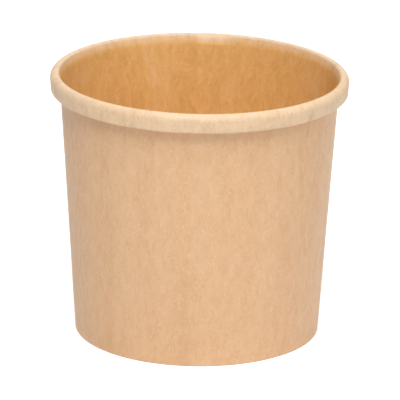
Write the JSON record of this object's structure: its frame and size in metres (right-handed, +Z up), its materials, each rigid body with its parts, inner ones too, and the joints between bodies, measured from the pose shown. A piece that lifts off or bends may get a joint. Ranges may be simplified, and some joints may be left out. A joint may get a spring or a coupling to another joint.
{
  "type": "kraft paper soup container",
  "caption": "Round tapered takeaway tub of kraft board, open at the top, with a rolled rim that takes a lid, a lapped side seam and a recessed base.",
  "frame": {"origin": "centre of the foot, on the surface that the container stands on", "axes": "+Z up the container's axis to the open top, +Y to the back where the side seam is, +X to the right"},
  "size_m": [0.098, 0.098, 0.088],
  "materials": {
    "kraft_wall": "matte",
    "kraft_base": "matte"
  },
  "bodies": {
    "root": {"side_wall": "kraft_wall", "base_disc": "kraft_base"}
  },
  "joints": []
}
